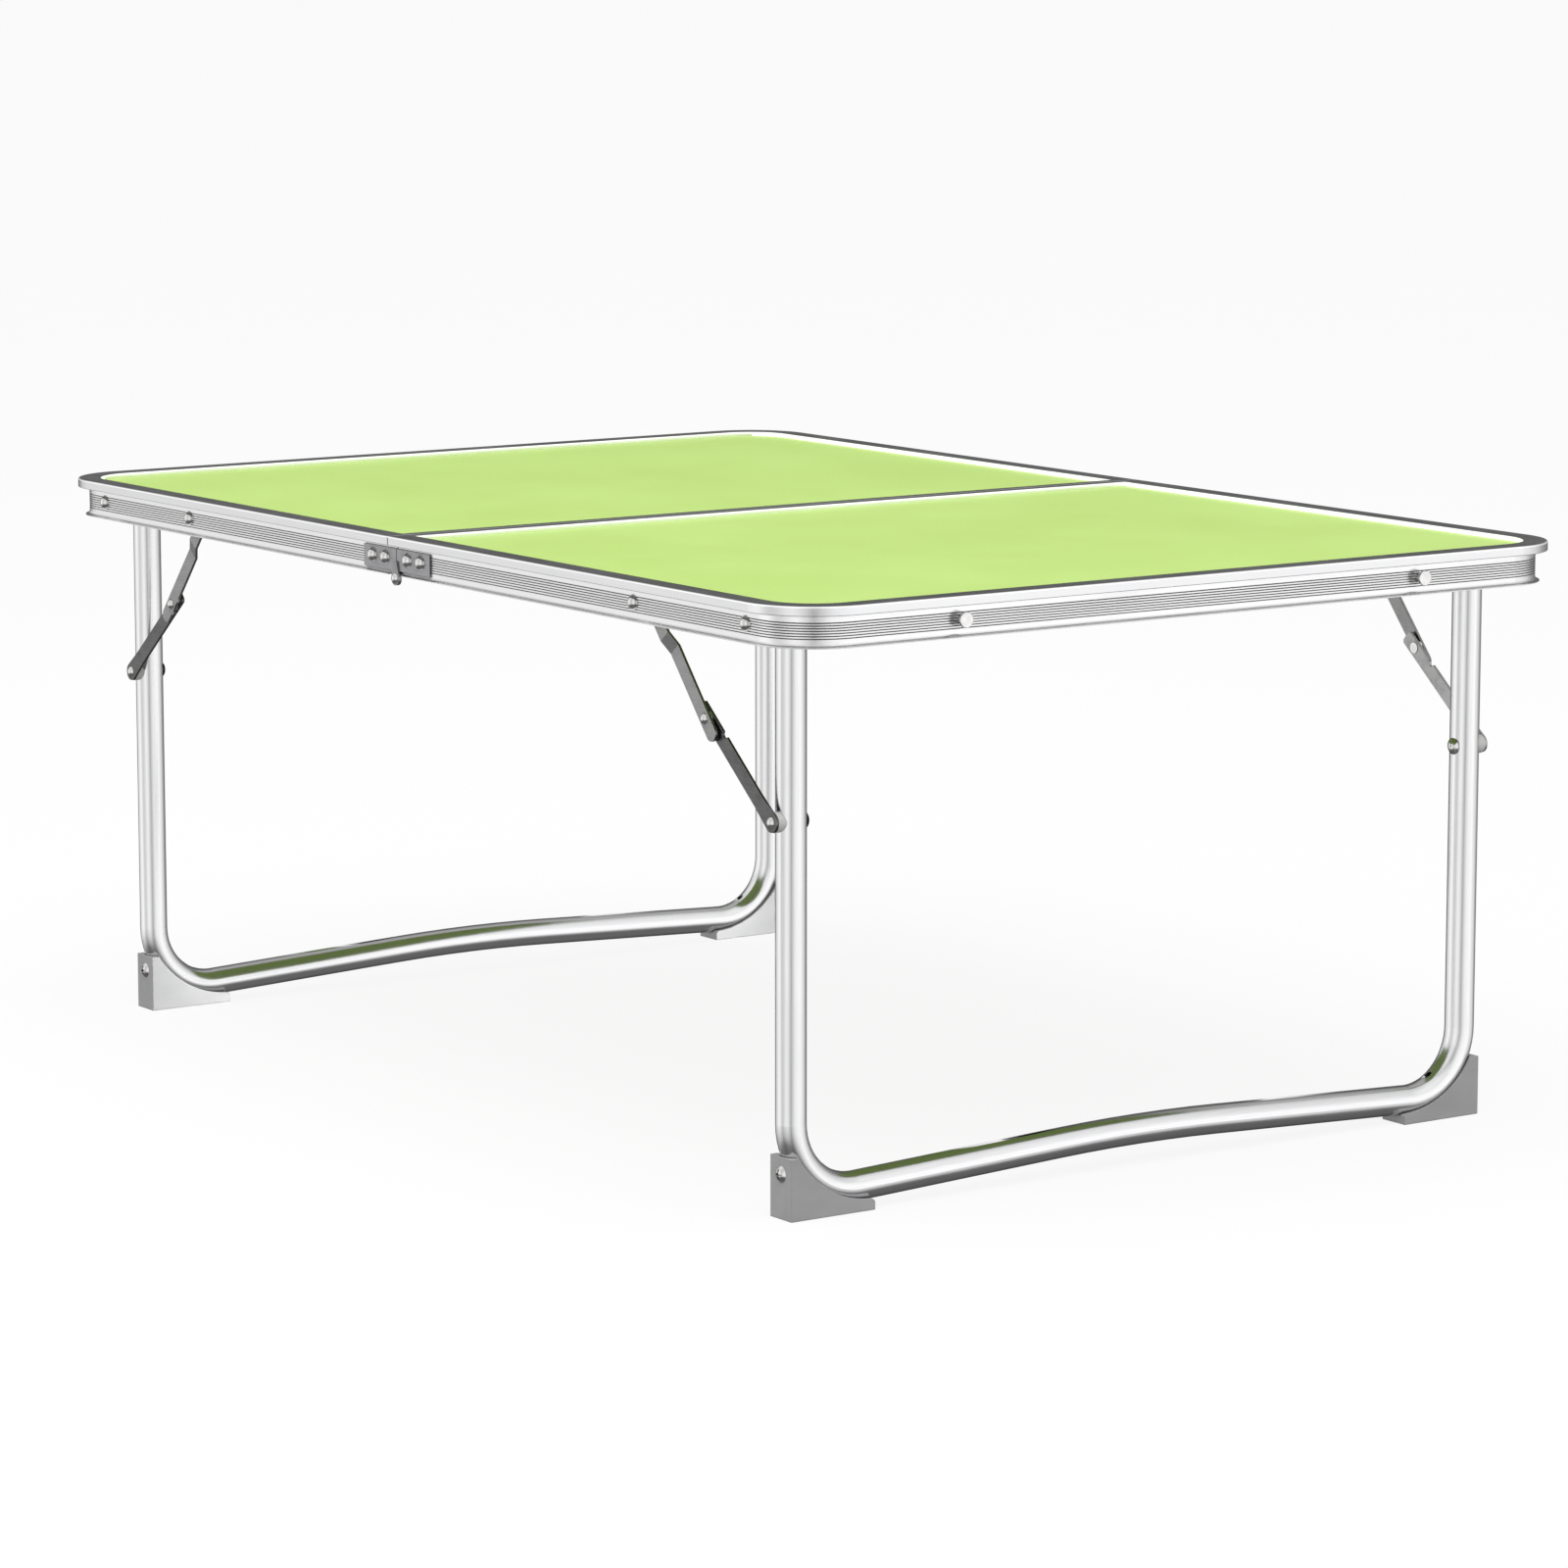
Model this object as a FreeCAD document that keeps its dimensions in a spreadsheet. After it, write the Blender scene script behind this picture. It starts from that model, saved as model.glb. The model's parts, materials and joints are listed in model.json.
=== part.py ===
"""Folding picnic table, 60 x 40 x 25 cm.

Two half tops meet at a seam and fold underside to underside like a suitcase. A bent U leg hangs in each
half and swings in towards the seam, locked open by a two-arm brace at each corner.

Frame: origin on the floor under the middle of the seam. +X runs along the table to half B, +Y across it to
the back, +Z up. Millimetres and degrees. Half B's front pieces are drawn; the others are mirror images.
"""
import FreeCAD, Part
import Sketcher
import math
import os

DIMENSIONS = {
    # whole table
    "table_length": 600, "table_width": 400, "table_height": 247.5, "corner_radius": 31,
    # rim rail section: d is measured inwards from the rim's outer edge, heights from the rail's bottom
    "rail_height": 16.9, "rim_flat": 10.4, "lip_height": 3.9, "lip_overhang": 5.1, "lip_round": 0.6,
    "edge_round": 0.3, "flange_flare": 1.8, "flange_tip": 0.35, "groove_low": 3.6, "groove_pitch": 1.03,
    "groove_width": 0.46, "groove_depth": 0.36, "rail_wall": 1.1, "cavity_low": 1.2, "cavity_high": 11.2,
    # panel and the slot that holds it
    "panel_drop": 2.1, "panel_thick": 1, "slot_depth": 1.6, "slot_play": 0.05, "slot_end_play": 0.15,
    # seam rail
    "seam_gap": 0.02, "seam_face": 5.2, "seam_wall": 1,
    # hinge: axis below the rails so that the halves close flat
    "hinge_drop": 1.2, "leaf_length": 26.6, "leaf_gap": 0.25, "leaf_low": 1.85, "leaf_high": 11.3,
    "leaf_thick": 0.8, "leaf_play": 0.05, "eye_radius": 3, "lug_tip_x": 1, "lug_tip_rise": 7.4,
    "ear_neck": 4.5, "notch_length": 5.2, "pin_radius": 1.5, "pin_head": 2.4, "pin_dome": 1.4,
    "pin_flare": 2.2, "pin_flare_depth": 0.5,
    "leaf_rivet_one": 9, "leaf_rivet_two": 19.5, "leaf_rivet_rise": 7.1, "leaf_rivet_head": 3.2,
    "leaf_rivet_dome": 2.3, "leaf_rivet_shank": 1.6, "leaf_rivet_tail": 2.4,
    # seam bracket
    "bracket_thick": 1.2, "bracket_reach": 24, "bracket_side": 13.5, "bracket_low": 2, "bracket_high": 11.6,
    # pivots on the side rails
    "pivot_rise": 7.4, "leg_pivot_x": 260.3, "link_span": 79.2, "rivet_head": 3.25, "rivet_dome": 2.3,
    "pivot_shank": 2, "brace_shank": 1.6, "running_play": 0.05,
    # leg tube
    "tube_radius": 6.25, "tube_wall": 1.2, "leg_spread": 173.5, "bend_radius": 29, "bend_height": 38,
    "bar_slope": 2.5, "crown_radius": 950,
    # feet
    "foot_thick": 14.6, "foot_face": 178.3, "foot_length": 40.5, "foot_height": 25.1,
    "foot_top": 3.4, "foot_tail": 3.5, "foot_curve_x": 39.6, "foot_curve_z": 4.4, "foot_curve_radius": 46,
    "foot_play": 0.05, "foot_screw_z": 18.2, "screw_head": 3.5, "screw_dome": 1.6,
    "screw_shank": 1.45, "screw_length": 12, "recess_length": 4.2, "recess_width": 0.95, "recess_depth": 1.2,
    # braces: distances y of each layer from the middle plane of the table
    "arm_width": 6.6, "arm_thick": 1.2, "lower_arm_y": 181.95, "washer_y": 183.2, "upper_arm_y": 184.05,
    "arm_head_y": 186.25, "knee_over": 5, "joggle_start": 17, "joggle_end": 23.5, "upper_tail": 10.3,
    "lower_tail": 7.2, "notch_place": 12, "notch_radius": 1.6, "tab_reach": 1.1, "tab_length": 2.2,
    "tab_place": 7, "knee_shank": 1.5, "knee_head": 2.35, "knee_dome": 1.5, "knee_tail": 2.4,
    "knee_tail_thick": 0.2, "washer_radius": 3.3, "washer_thick": 0.8,
    "spacer_radius": 4.5, "saddle_radius": 4.1, "brace_head": 2.5, "brace_dome": 1.4,
    "brace_tail": 3.55, "tail_dome": 1.5, "inner_tail": 2.75, "inner_tail_dome": 1,
    # latches on the end rails
    "stud_spread": 117, "stud_neck": 1.8, "stud_head": 3.2, "stud_head_start": 3, "stud_head_end": 3.9,
    "stud_bevel": 0.2, "latch_start": 1.95, "latch_thick": 1, "latch_width": 8, "latch_tail": 4,
}
GROOVES = 7
MARGIN = 5  # how far a cutting outline reaches past what it cuts

# Heights and places that several pieces share, as expressions of the sheet's cells
HALF_LENGTH = "Size.table_length / 2"
HALF_WIDTH = "Size.table_width / 2"
TOP = "Size.table_height"
BOTTOM = f"({TOP} - Size.rail_height)"
WEB_Y = f"({HALF_WIDTH} - Size.lip_overhang)"
WEB_X = f"({HALF_LENGTH} - Size.lip_overhang)"
WALL_Y = f"({HALF_WIDTH} - Size.rim_flat)"
SLOT_TOP = f"({TOP} - Size.panel_drop + Size.slot_play)"
SLOT_LOW = f"({SLOT_TOP} - Size.panel_thick - 2 * Size.slot_play)"
HINGE_Z = f"({BOTTOM} - Size.hinge_drop)"
PIVOT_Z = f"({BOTTOM} + Size.pivot_rise)"
BRACE_X = "(Size.leg_pivot_x - Size.link_span)"
BRACE_Z = f"({PIVOT_Z} - Size.link_span)"
LEAF_Y = f"({WEB_Y} + Size.leaf_play)"
LUG_Y = f"({LEAF_Y} + Size.leaf_thick)"
STUD_Z = f"({BOTTOM} + Size.leaf_rivet_rise)"
TUBE_OUT = "(Size.leg_spread + Size.tube_radius)"
TUBE_IN = "(Size.leg_spread - Size.tube_radius)"

doc = FreeCAD.newDocument("folding_picnic_table")
nodes = []


def make_sheet():
    """The driving dimensions, one aliased cell each."""
    sheet = doc.addObject("Spreadsheet::Sheet", "Size")
    for row, (alias, number) in enumerate(DIMENSIONS.items(), start=1):
        sheet.set(f"A{row}", alias)
        sheet.set(f"B{row}", str(number))
        sheet.setAlias(f"B{row}", alias)
    doc.recompute()
    return sheet


sheet = make_sheet()


def value(expression):
    """What an expression of the sheet's cells comes to."""
    return float(sheet.evalExpression(expression))


def node(piece, label):
    """Marks a document object as a finished sub-part."""
    piece.Label = label
    nodes.append(piece)
    return piece


# ---------------------------------------------------------------- sketching

def plane_of(body, role):
    return next(f for f in body.Origin.OriginFeatures if f.Role == role)


def sketch_on(body, role, offset="0"):
    """A sketch on one of the body's own origin planes, moved along that plane's normal."""
    sketch = body.newObject("Sketcher::SketchObject", "Sketch")
    sketch.AttachmentSupport = (plane_of(body, role), [""])
    sketch.MapMode = "FlatFace"
    sketch.setExpression(".AttachmentOffset.Base.z", offset)
    return sketch


def pin_point(sketch, edge, end, x, y):
    """Ties one end of an edge to a place given by two expressions."""
    for kind, expression in (("DistanceX", x), ("DistanceY", y)):
        index = sketch.addConstraint(Sketcher.Constraint(kind, edge, end, value(expression)))
        sketch.setExpression(f".Constraints[{index}]", expression)


def add_arc(sketch, start, finish, radius, turn):
    """A minor arc from start to finish: turn 1 runs anticlockwise, -1 clockwise. Returns its index."""
    first, last = (start, finish) if turn > 0 else (finish, start)
    chord = last - first
    rise = math.sqrt(max(radius ** 2 - chord.Length ** 2 / 4, 0))
    across = FreeCAD.Vector(-chord.y, chord.x, 0).normalize()
    centre = (first + last) * 0.5 + across * rise
    angles = [math.atan2(p.y - centre.y, p.x - centre.x) for p in (first, last)]
    circle = Part.Circle(centre, FreeCAD.Vector(0, 0, 1), radius)
    return sketch.addGeometry(Part.ArcOfCircle(circle, *angles))


def outline(sketch, corners, closed=True):
    """Draws straight and round edges through corners and ties every corner to the sheet.

    A corner is (x, y), or (x, y, radius, turn) where the edge that leaves it is an arc.
    """
    points = [FreeCAD.Vector(value(c[0]), value(c[1]), 0) for c in corners]
    count = len(corners) if closed else len(corners) - 1
    ends = []
    for i in range(count):
        start, finish = points[i], points[(i + 1) % len(points)]
        if len(corners[i]) == 2:
            edge = sketch.addGeometry(Part.LineSegment(start, finish))
            ends.append((edge, 1, 2))
            continue
        radius, turn = corners[i][2:]
        edge = add_arc(sketch, start, finish, value(radius), turn)
        ends.append((edge, 1, 2) if turn > 0 else (edge, 2, 1))
        index = sketch.addConstraint(Sketcher.Constraint("Radius", edge, value(radius)))
        sketch.setExpression(f".Constraints[{index}]", radius)
    for i, (edge, start, finish) in enumerate(ends):
        pin_point(sketch, edge, start, corners[i][0], corners[i][1])
        if i + 1 < count or closed:
            following = ends[(i + 1) % count]
            sketch.addConstraint(Sketcher.Constraint("Coincident", edge, finish, following[0], following[1]))
        else:
            pin_point(sketch, edge, finish, corners[-1][0], corners[-1][1])


def circle(sketch, x, y, radius):
    """A full circle whose centre and radius are tied to the sheet."""
    centre = FreeCAD.Vector(value(x), value(y), 0)
    edge = sketch.addGeometry(Part.Circle(centre, FreeCAD.Vector(0, 0, 1), value(radius)))
    pin_point(sketch, edge, 3, x, y)
    index = sketch.addConstraint(Sketcher.Constraint("Radius", edge, value(radius)))
    sketch.setExpression(f".Constraints[{index}]", radius)


def box(sketch, x_low, y_low, x_high, y_high):
    outline(sketch, [(x_low, y_low), (x_high, y_low), (x_high, y_high), (x_low, y_high)])


# ---------------------------------------------------------------- features

def new_body(name):
    return doc.addObject("PartDesign::Body", name)


def pad(body, sketch, length, symmetric=False, kind="PartDesign::Pad"):
    feature = body.newObject(kind, "Pad")
    feature.Profile = sketch
    feature.SideType = "Symmetric" if symmetric else "One side"
    feature.setExpression("Length", length)
    return feature


def cut_through(body, sketch):
    """Cuts the sketch's outline out of the whole body, both ways."""
    pocket = body.newObject("PartDesign::Pocket", "Pocket")
    pocket.Profile = sketch
    pocket.SideType = "Symmetric"
    pocket.Type = "ThroughAll"
    return pocket


def cut_depth(body, sketch, depth, inwards):
    """Cuts to a depth: a pocket runs against its sketch's normal, or along it when inwards is False."""
    pocket = body.newObject("PartDesign::Pocket", "Pocket")
    pocket.Profile = sketch
    pocket.setExpression("Length", depth)
    pocket.Reversed = not inwards
    return pocket


def turn(body, sketch, axis, angle=360):
    feature = body.newObject("PartDesign::Revolution", "Revolution")
    feature.Profile = sketch
    feature.ReferenceAxis = (sketch, [axis])
    feature.Angle = angle
    return feature


def pipe(body, profile, spine, kind="PartDesign::AdditivePipe"):
    feature = body.newObject(kind, "Pipe")
    feature.Profile = profile
    feature.Spine = spine
    return feature


def mirrored(source, normal, name="Mirror"):
    """A mirror image through the origin of the table's frame."""
    copy = doc.addObject("Part::Mirroring", name)
    copy.Source = source
    copy.Normal = normal
    return copy


ACROSS = FreeCAD.Vector(0, 1, 0)  # front to back
ALONG = FreeCAD.Vector(1, 0, 0)  # half B to half A


def group(pieces, label):
    """Identical separate pieces that share one node."""
    compound = doc.addObject("Part::Compound", label)
    compound.Links = pieces
    return node(compound, label)


def both_halves(piece, label):
    """Half B's piece and its mirror image on half A."""
    node(piece, f"{label}_b")
    node(mirrored(piece, ALONG), f"{label}_a")


def front_and_back(piece, label):
    """One node in each half: the front piece and its mirror image at the back, as two solids."""
    pair = group([piece, mirrored(piece, ACROSS)], f"{label}_b")
    node(mirrored(pair, ALONG), f"{label}_a")


def four_corners(piece, label, other=None):
    """A node of its own at each corner of the table. Half A's may be another piece, drawn on half B."""
    for half, source in (("b", piece), ("a", other or piece)):
        front = source if half == "b" else mirrored(source, ALONG)
        node(front, f"{label}_{half}_front")
        node(mirrored(front, ACROSS), f"{label}_{half}_back")


def domed(step):
    """The curvature and turn of the edge that leaves a step, if it isn't straight."""
    return (step[2], -1) if len(step) == 3 else ()


def turned(name, steps, x, z):
    """A turned piece whose axis runs across the table at (x, z).

    steps are the (radius, y) corners of its section, head first, where y is the distance from the table's
    middle plane. A third value is the curvature of a domed edge that leaves that corner.
    """
    body = new_body(name)
    sketch = sketch_on(body, "YZ_Plane")
    outline(sketch, [(f"-({step[1]})", step[0], *domed(step)) for step in steps])
    turn(body, sketch, "H_Axis")
    body.setExpression(".Placement.Base.x", x)
    body.setExpression(".Placement.Base.z", z)
    return body


def dome(radius, height):
    """The curvature of a cap of this height on a circle of this radius."""
    return f"(({radius}) ^ 2 + ({height}) ^ 2) / (2 * ({height}))"


def rivet(name, x, z, shank, head, head_y, head_dome, tail, tail_y, tail_dome):
    """A dome-head rivet with its head outside at head_y and its formed tail inside at tail_y."""
    steps = [
        ("0", f"{head_y} + {head_dome}", dome(head, head_dome)),
        (head, head_y),
        (shank, head_y),
        (shank, tail_y),
        (tail, tail_y, dome(tail, tail_dome)),
        ("0", f"{tail_y} - {tail_dome}"),
    ]
    return turned(name, steps, x, z)


# ---------------------------------------------------------------- half tops

def rim_section(place, turn_sign):
    """The rim rail's outer outline. place turns an inward distance d into a sketch x."""
    web = "Size.lip_overhang"
    tip = f"{web} - Size.flange_flare"
    step = f"{BOTTOM} + Size.flange_tip"
    lip = f"{TOP} - Size.lip_height"
    slot = "Size.rim_flat - Size.slot_depth"
    points = [
        ("Size.rim_flat", BOTTOM),
        (tip, BOTTOM),
        (tip, step, "Size.flange_flare", turn_sign),
        (web, f"{step} + Size.flange_flare"),
    ]
    for i in range(GROOVES):
        middle = f"{BOTTOM} + Size.groove_low + {i} * Size.groove_pitch"
        points += [
            (web, f"{middle} - Size.groove_width / 2"),
            (f"{web} + Size.groove_depth", middle),
            (web, f"{middle} + Size.groove_width / 2"),
        ]
    points += [
        (web, lip),
        ("Size.edge_round", lip, "Size.edge_round", -turn_sign),
        ("0", f"{lip} + Size.edge_round"),
        ("0", f"{TOP} - Size.lip_round", "Size.lip_round", -turn_sign),
        ("Size.lip_round", TOP),
        ("Size.rim_flat - Size.edge_round", TOP, "Size.edge_round", -turn_sign),
        ("Size.rim_flat", f"{TOP} - Size.edge_round"),
        ("Size.rim_flat", SLOT_TOP),
        (slot, SLOT_TOP),
        (slot, SLOT_LOW),
        ("Size.rim_flat", SLOT_LOW),
    ]
    return [(place(p[0]), *p[1:]) for p in points]


def draw_rim(sketch, place, turn_sign):
    """The whole hollow section: outer outline and the chamber inside it."""
    outline(sketch, rim_section(place, turn_sign))
    outer = place("Size.lip_overhang + Size.rail_wall")
    inner = place("Size.rim_flat - Size.rail_wall")
    box(sketch, outer, f"{BOTTOM} + Size.cavity_low", inner, f"{BOTTOM} + Size.cavity_high")


def rim_rail():
    """The extrusion bent round three sides: side, corner and half the end, mirrored front to back."""
    def side(d):
        return f"({d}) - {HALF_WIDTH}"

    def end(d):
        return f"{HALF_LENGTH} - ({d})"

    body = new_body("rim_rail")
    straight = sketch_on(body, "YZ_Plane")
    draw_rim(straight, side, 1)
    side_run = pad(body, straight, f"{HALF_LENGTH} - Size.corner_radius")

    bend = sketch_on(body, "YZ_Plane", f"{HALF_LENGTH} - Size.corner_radius")
    draw_rim(bend, side, 1)
    middle = value(f"Size.corner_radius - {HALF_WIDTH}")
    axis = sketch_axis(bend, middle, f"Size.corner_radius - {HALF_WIDTH}")
    corner = turn(body, bend, axis, 90)

    across = sketch_on(body, "XZ_Plane")
    draw_rim(across, end, -1)
    end_run = pad(body, across, f"{HALF_WIDTH} - Size.corner_radius")

    mirror = body.newObject("PartDesign::Mirrored", "Mirrored")
    mirror.Originals = [side_run, corner, end_run]
    mirror.MirrorPlane = (plane_of(body, "XZ_Plane"), [""])
    body.Tip = mirror

    holes = sketch_on(body, "XZ_Plane")
    circle(holes, "Size.leg_pivot_x", PIVOT_Z, "Size.pivot_shank")
    circle(holes, BRACE_X, PIVOT_Z, "Size.brace_shank")
    for place in ("Size.leaf_rivet_one", "Size.leaf_rivet_two"):
        circle(holes, place, STUD_Z, "Size.leaf_rivet_shank")
    cut_through(body, holes)

    stud_holes = sketch_on(body, "YZ_Plane")
    for sign in ("", "-"):
        circle(stud_holes, f"{sign}Size.stud_spread", STUD_Z, "Size.stud_neck")
    cut_through(body, stud_holes)

    # the bottom flange stops short of the seam, to clear the hinge's eyes
    notches = sketch_on(body, "XY_Plane", BOTTOM)
    for sign in ("", "-"):
        near, far = f"{sign}{WEB_Y}", f"{sign}({WEB_Y} + {MARGIN})"
        low, high = (near, far) if not sign else (far, near)
        box(notches, f"-{MARGIN}", low, "Size.notch_length", high)
    cut_depth(body, notches, "Size.leaf_low + 0.4", inwards=False)

    # the ends stand back from the seam by its gap
    trim = sketch_on(body, "XZ_Plane")
    box(trim, f"-{MARGIN}", f"{BOTTOM} - {MARGIN}", "Size.seam_gap", f"{TOP} + {MARGIN}")
    cut_through(body, trim)
    return body


def sketch_axis(sketch, place, expression):
    """An upright construction line at sketch x = place, to turn a section about. Returns its name."""
    low, high = FreeCAD.Vector(place, 0, 0), FreeCAD.Vector(place, 100, 0)
    edge = sketch.addGeometry(Part.LineSegment(low, high), True)
    pin_point(sketch, edge, 1, expression, "0")
    pin_point(sketch, edge, 2, expression, "100")
    return "Axis0"


def seam_rail():
    """The straight section along the seam: a box with a slot for the panel in its inner side."""
    body = new_body("seam_rail")
    sketch = sketch_on(body, "XZ_Plane")
    near, far = "Size.seam_gap", "Size.seam_face"
    rounding = "Size.edge_round"
    outline(sketch, [
        (near, BOTTOM),
        (far, BOTTOM),
        (far, SLOT_LOW),
        (f"{far} - Size.slot_depth", SLOT_LOW),
        (f"{far} - Size.slot_depth", SLOT_TOP),
        (far, SLOT_TOP),
        (far, f"{TOP} - {rounding}", rounding, 1),
        (f"{far} - {rounding}", TOP),
        (f"{near} + {rounding}", TOP, rounding, 1),
        (near, f"{TOP} - {rounding}"),
    ])
    box(
        sketch, f"{near} + Size.seam_wall", f"{BOTTOM} + Size.seam_wall",
        f"{far} - Size.seam_wall", f"{BOTTOM} + Size.cavity_high",
    )
    pad(body, sketch, f"2 * {WALL_Y}", symmetric=True)
    screw_holes = sketch_on(body, "YZ_Plane", far)
    for sign in ("", "-"):
        circle(screw_holes, f"{sign}({WALL_Y} - 9)", STUD_Z, "Size.leaf_rivet_shank")
    cut_depth(body, screw_holes, "2 * Size.seam_wall", inwards=True)
    return body


def table_panel():
    """The thin top sheet, its edges inside the rails' slots."""
    body = new_body("table_panel")
    edge = "(Size.rim_flat - Size.slot_depth + Size.slot_end_play)"
    near = "Size.seam_face - Size.slot_depth + Size.slot_end_play"
    far, side = f"{HALF_LENGTH} - {edge}", f"{HALF_WIDTH} - {edge}"
    radius = f"Size.corner_radius - {edge}"
    sketch = sketch_on(body, "XY_Plane", f"{TOP} - Size.panel_drop - Size.panel_thick")
    outline(sketch, [
        (near, f"-({side})"),
        (f"{HALF_LENGTH} - Size.corner_radius", f"-({side})", radius, 1),
        (far, f"Size.corner_radius - {HALF_WIDTH}"),
        (far, f"{HALF_WIDTH} - Size.corner_radius", radius, 1),
        (f"{HALF_LENGTH} - Size.corner_radius", side),
        (near, side),
    ])
    pad(body, sketch, "Size.panel_thick")
    return body


# ---------------------------------------------------------------- middle hinge

def leaf_plate(body, sign):
    """The flat plate of a hinge leaf, against the rim rail's web, with its two rivet holes."""
    def x(expression):
        return f"{sign}({expression})"

    sketch = sketch_on(body, "XZ_Plane", LEAF_Y)
    ends = (x("Size.leaf_gap"), x("Size.leaf_length"))
    low, high = ends if sign == "" else ends[::-1]
    box(sketch, low, f"{BOTTOM} + Size.leaf_low", high, f"{BOTTOM} + Size.leaf_high")
    pad(body, sketch, "Size.leaf_thick")
    return [(x(place), STUD_Z) for place in ("Size.leaf_rivet_one", "Size.leaf_rivet_two")]


def eye_touch(tip_x, tip_z, side):
    """Where a straight line from a tip meets the hinge eye, as a pair of expressions.

    side is 1 for the line's touching point on the +X side of the eye and -1 for the other.
    """
    dx, dz = f"({tip_x})", f"({tip_z} - {HINGE_Z})"
    reach = f"sqrt({dx} ^ 2 + {dz} ^ 2)"
    turn_angle = f"acos(Size.eye_radius / {reach})"
    base = f"atan2({dz}; {dx})"
    angle = f"({base} {'-' if side > 0 else '+'} {turn_angle})"
    return f"Size.eye_radius * cos({angle})", f"{HINGE_Z} + Size.eye_radius * sin({angle})"


def hinge_lug_leaf():
    """Half B's front leaf: plate plus a drop-shaped lug outside it, round the hinge pin."""
    body = new_body("hinge_leaf_b")
    rivets = leaf_plate(body, "")
    sketch = sketch_on(body, "XZ_Plane", LUG_Y)
    tip = ("Size.lug_tip_x", f"{HINGE_Z} + Size.lug_tip_rise")
    left, right = eye_touch(*tip, -1), eye_touch(*tip, 1)
    lowest = ("0", f"{HINGE_Z} - Size.eye_radius")
    outline(sketch, [tip, (*left, "Size.eye_radius", 1), (*lowest, "Size.eye_radius", 1), right])
    pad(body, sketch, "Size.leaf_thick")
    holes = sketch_on(body, "XZ_Plane")
    circle(holes, "0", HINGE_Z, "Size.pin_radius + Size.running_play")
    for place in rivets:
        circle(holes, *place, "Size.leaf_rivet_shank")
    cut_through(body, holes)
    return body


def hinge_ear_leaf():
    """Half A's front leaf: plate with a flat ear that reaches down behind half B's lug."""
    body = new_body("hinge_leaf_a")
    rivets = leaf_plate(body, "-")
    sketch = sketch_on(body, "XZ_Plane", LEAF_Y)
    low = f"{BOTTOM} + Size.leaf_low"
    corner = ("-Size.leaf_gap", low)
    neck = ("-Size.ear_neck", low)
    left, right = eye_touch(*neck, -1), eye_touch(*corner, 1)
    lowest = ("0", f"{HINGE_Z} - Size.eye_radius")
    outline(sketch, [
        ("-Size.leaf_gap", f"{low} + 1"),
        ("-Size.ear_neck", f"{low} + 1"),
        neck,
        (*left, "Size.eye_radius", 1),
        (*lowest, "Size.eye_radius", 1),
        right,
        corner,
    ])
    pad(body, sketch, "Size.leaf_thick")
    holes = sketch_on(body, "XZ_Plane")
    for place in rivets:
        circle(holes, *place, "Size.leaf_rivet_shank")
    cut_through(body, holes)
    bore = sketch_on(body, "YZ_Plane")
    play = "Size.running_play"
    outline(bore, [
        (f"-({LEAF_Y} - {MARGIN})", "0"),
        (f"-({LEAF_Y} - {MARGIN})", f"Size.pin_flare + {play}"),
        (f"-{LEAF_Y}", f"Size.pin_flare + {play}"),
        (f"-({LEAF_Y} + Size.pin_flare_depth)", f"Size.pin_radius + {play}"),
        (f"-({LEAF_Y} + {MARGIN})", f"Size.pin_radius + {play}"),
        (f"-({LEAF_Y} + {MARGIN})", "0"),
    ])
    groove = body.newObject("PartDesign::Groove", "Groove")
    bore.setExpression(".AttachmentOffset.Base.y", HINGE_Z)
    groove.Profile = bore
    groove.ReferenceAxis = (bore, ["H_Axis"])
    groove.Angle = 360
    return body


def hinge_pin():
    """The pin rivet: a domed head outside, a countersunk tail flush with the ear's inner face."""
    head_y = f"{LUG_Y} + Size.leaf_thick + Size.running_play"
    return turned("hinge_pin", [
        ("0", f"{head_y} + Size.pin_dome", dome("Size.pin_head", "Size.pin_dome")),
        ("Size.pin_head", head_y),
        ("Size.pin_radius", head_y),
        ("Size.pin_radius", f"{LEAF_Y} + Size.pin_flare_depth"),
        ("Size.pin_flare", f"{LEAF_Y} + 0.02"),
        ("0", f"{LEAF_Y} + 0.02"),
    ], "0", HINGE_Z)


def leaf_rivet(place):
    return rivet(
        "hinge_rivet", place, STUD_Z, "Size.leaf_rivet_shank",
        "Size.leaf_rivet_head", LUG_Y, "Size.leaf_rivet_dome",
        "Size.leaf_rivet_tail", f"{WALL_Y} - Size.slot_play - Size.bracket_thick", "Size.inner_tail_dome",
    )


def seam_bracket():
    """A steel angle inside the corner of rim rail and seam rail, on the hinge leaf's rivets."""
    body = new_body("seam_bracket")
    sketch = sketch_on(body, "XY_Plane", f"{BOTTOM} + Size.bracket_low")
    x, y = "(Size.seam_face + Size.slot_play)", f"({WALL_Y} - Size.slot_play)"
    outline(sketch, [
        (x, f"-{y}"),
        ("Size.bracket_reach", f"-{y}"),
        ("Size.bracket_reach", f"-({y} - Size.bracket_thick)"),
        (f"{x} + Size.bracket_thick", f"-({y} - Size.bracket_thick)"),
        (f"{x} + Size.bracket_thick", f"-({y} - Size.bracket_side)"),
        (x, f"-({y} - Size.bracket_side)"),
    ])
    pad(body, sketch, "Size.bracket_high - Size.bracket_low")
    holes = sketch_on(body, "XZ_Plane")
    for place in ("Size.leaf_rivet_one", "Size.leaf_rivet_two"):
        circle(holes, place, STUD_Z, "Size.leaf_rivet_shank")
    cut_through(body, holes)
    side_hole = sketch_on(body, "YZ_Plane")
    circle(side_hole, f"-({WALL_Y} - 9)", STUD_Z, "Size.leaf_rivet_shank")
    cut_through(body, side_hole)
    return body


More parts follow.
